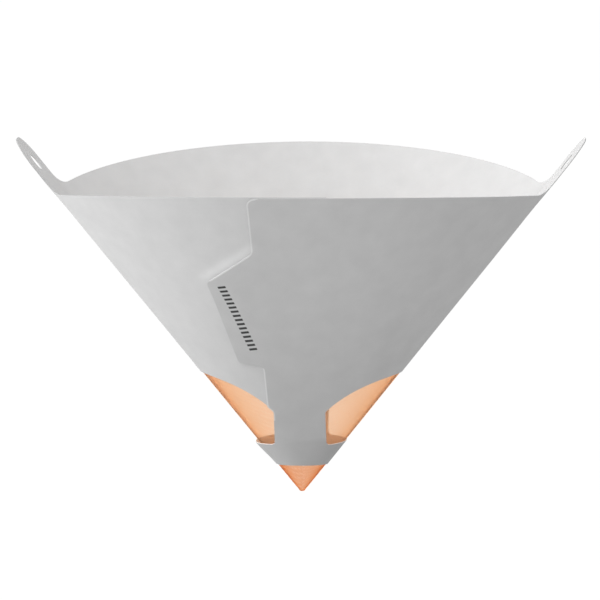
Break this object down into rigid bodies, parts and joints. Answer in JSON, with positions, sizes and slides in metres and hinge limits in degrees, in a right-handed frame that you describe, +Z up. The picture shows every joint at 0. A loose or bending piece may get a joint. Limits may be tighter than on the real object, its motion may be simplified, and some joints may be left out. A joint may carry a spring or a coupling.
{
  "type": "paint strainer",
  "caption": "Disposable cone strainer: a rolled, lap-glued paper cone with hanging ears and side windows holds a nylon gauze cone that filters paint as it is poured through.",
  "frame": {"origin": "the pinched tip of the gauze, the lowest place of the strainer, under the middle of the mouth", "axes": "+Z up along the cone's middle line from the tip to the mouth; +X from the left ear to the right ear; -Y towards the front, the side with the glued lap"},
  "size_m": [0.1972, 0.1495, 0.1239],
  "materials": {
    "paper": "uncoated stiff white paper, matt",
    "gauze": "fine orange nylon gauze"
  },
  "bodies": {
    "root": {"paper_cone": "paper", "filter_mesh": "gauze"}
  },
  "joints": []
}
